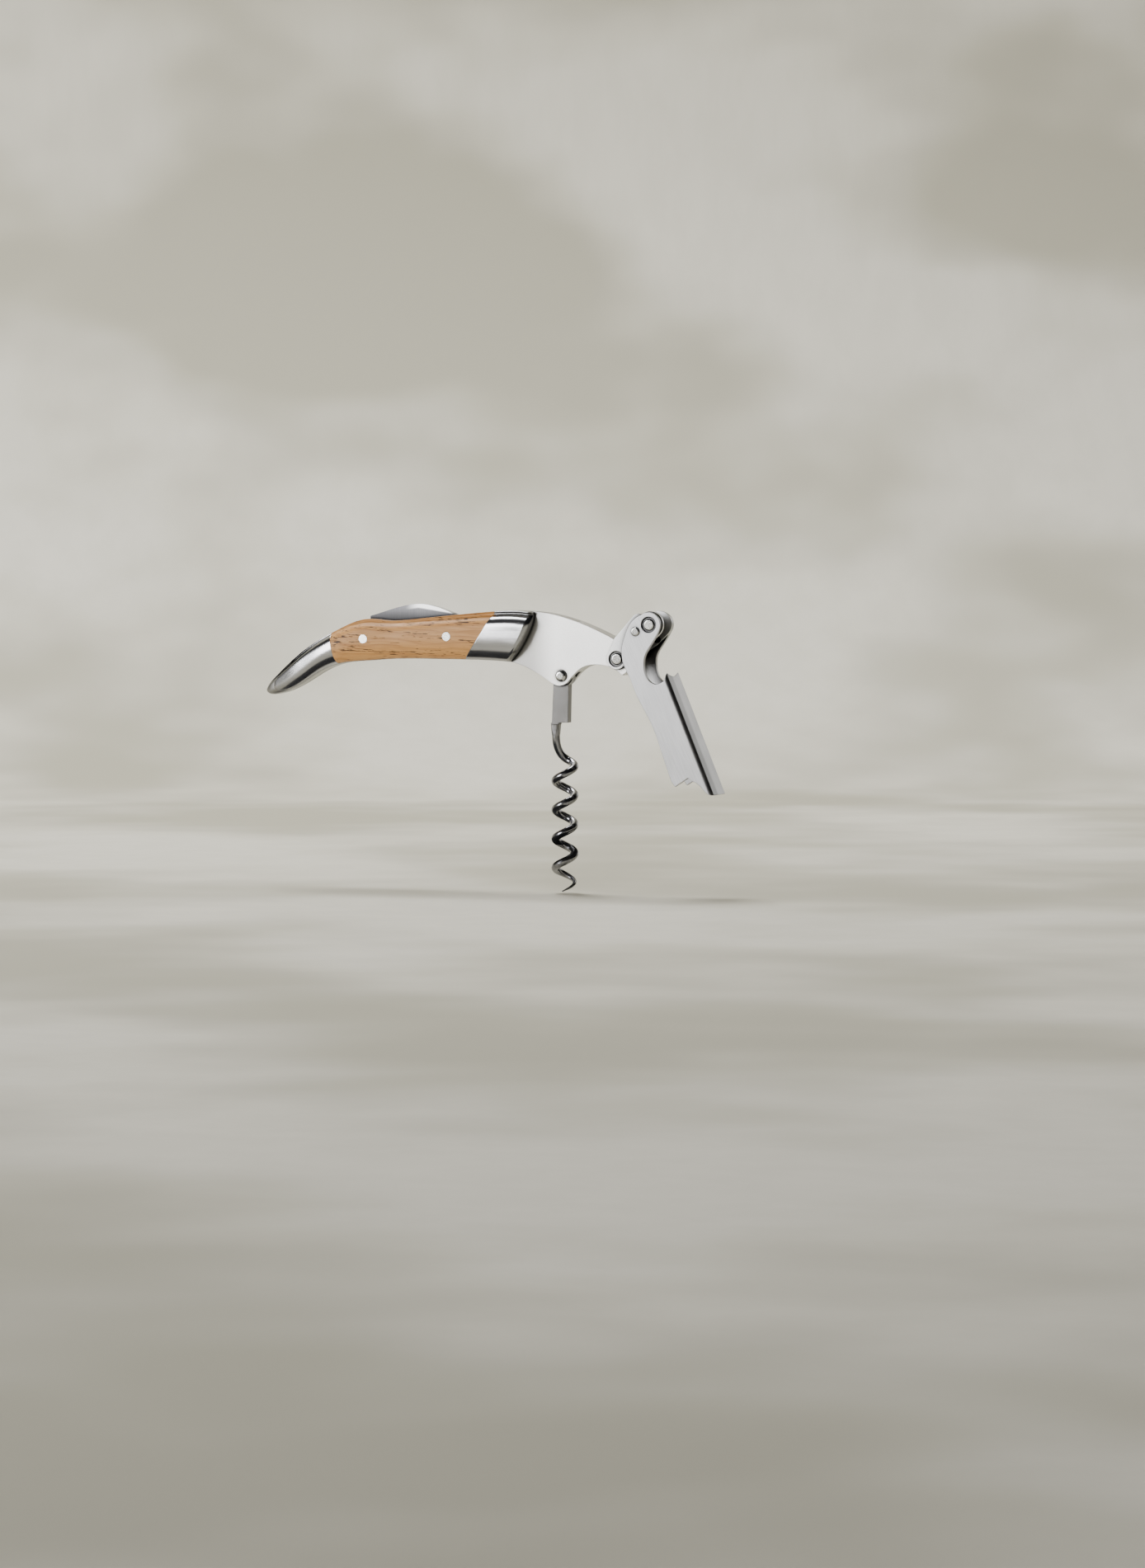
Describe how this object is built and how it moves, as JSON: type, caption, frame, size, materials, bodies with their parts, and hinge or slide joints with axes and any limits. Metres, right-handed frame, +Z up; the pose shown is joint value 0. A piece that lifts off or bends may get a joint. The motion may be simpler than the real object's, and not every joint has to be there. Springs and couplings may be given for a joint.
{
  "type": "lever corkscrew",
  "caption": "Folding lever corkscrew with a curved wood and steel handle, a hinged worm, a linked channel lever with a cap lifter and foot, and a foil blade.",
  "frame": {"origin": "on the worm's axis, level with the worm's tip, in the tool's middle plane", "axes": "+Z up along the open worm's axis, +X from the worm towards the lever, +Y to the far side, across the tool"},
  "size_m": [0.1594, 0.0146, 0.0929],
  "materials": {
    "blasted_steel": "bead-blasted satin stainless steel",
    "spring_steel": "ground stainless spring steel",
    "polished_steel": "polished stainless steel with fine hairlines",
    "oak": "oiled light oak with open pores",
    "pin_steel": "polished steel pin",
    "worm_steel": "polished dark steel wire",
    "brushed_steel": "brushed stainless steel",
    "blade_steel": "satin-ground blade steel"
  },
  "bodies": {
    "handle": {"liner_near": "blasted_steel", "liner_far": "blasted_steel", "neck_spacer": "blasted_steel", "worm_spring": "spring_steel", "blade_spring": "spring_steel", "tail_spacer": "spring_steel", "front_bolster_near": "polished_steel", "front_bolster_far": "polished_steel", "tail_bolster_near": "polished_steel", "tail_bolster_far": "polished_steel", "scale_near": "oak", "scale_far": "oak", "scale_pin": "pin_steel", "blade_pivot_pin": "pin_steel", "bolster_dowels": "pin_steel", "tail_dowel": "pin_steel", "worm_rivet": "pin_steel", "link_rivet": "pin_steel"},
    "worm": {"worm": "worm_steel"},
    "link": {"link": "blasted_steel"},
    "lever": {"lever": "brushed_steel", "lever_rivet": "pin_steel", "stop_pin": "pin_steel"},
    "blade": {"blade": "blade_steel"}
  },
  "joints": [
    {"name": "link_fold", "type": "hinge", "parent": "handle", "child": "link", "pos_m": [0.0196, 0, 0.0756], "axis": [0, 1, 0], "range_deg": [0, 96.5]},
    {"name": "lever_fold", "type": "hinge", "parent": "link", "child": "lever", "pos_m": [0.0313, 0, 0.0867], "axis": [0, 1, 0], "range_deg": [-55, 15.5]},
    {"name": "worm_fold", "type": "hinge", "parent": "handle", "child": "worm", "pos_m": [0, 0, 0.07], "axis": [0, 1, 0], "range_deg": [0, 90]},
    {"name": "blade_open", "type": "hinge", "parent": "handle", "child": "blade", "pos_m": [-0.0684, 0, 0.0814], "axis": [0, -1, 0], "range_deg": [0, 135]}
  ],
  "couplings": [
    {"joint": "worm_fold", "follows": "link_fold", "ratio": 0.93264}
  ]
}
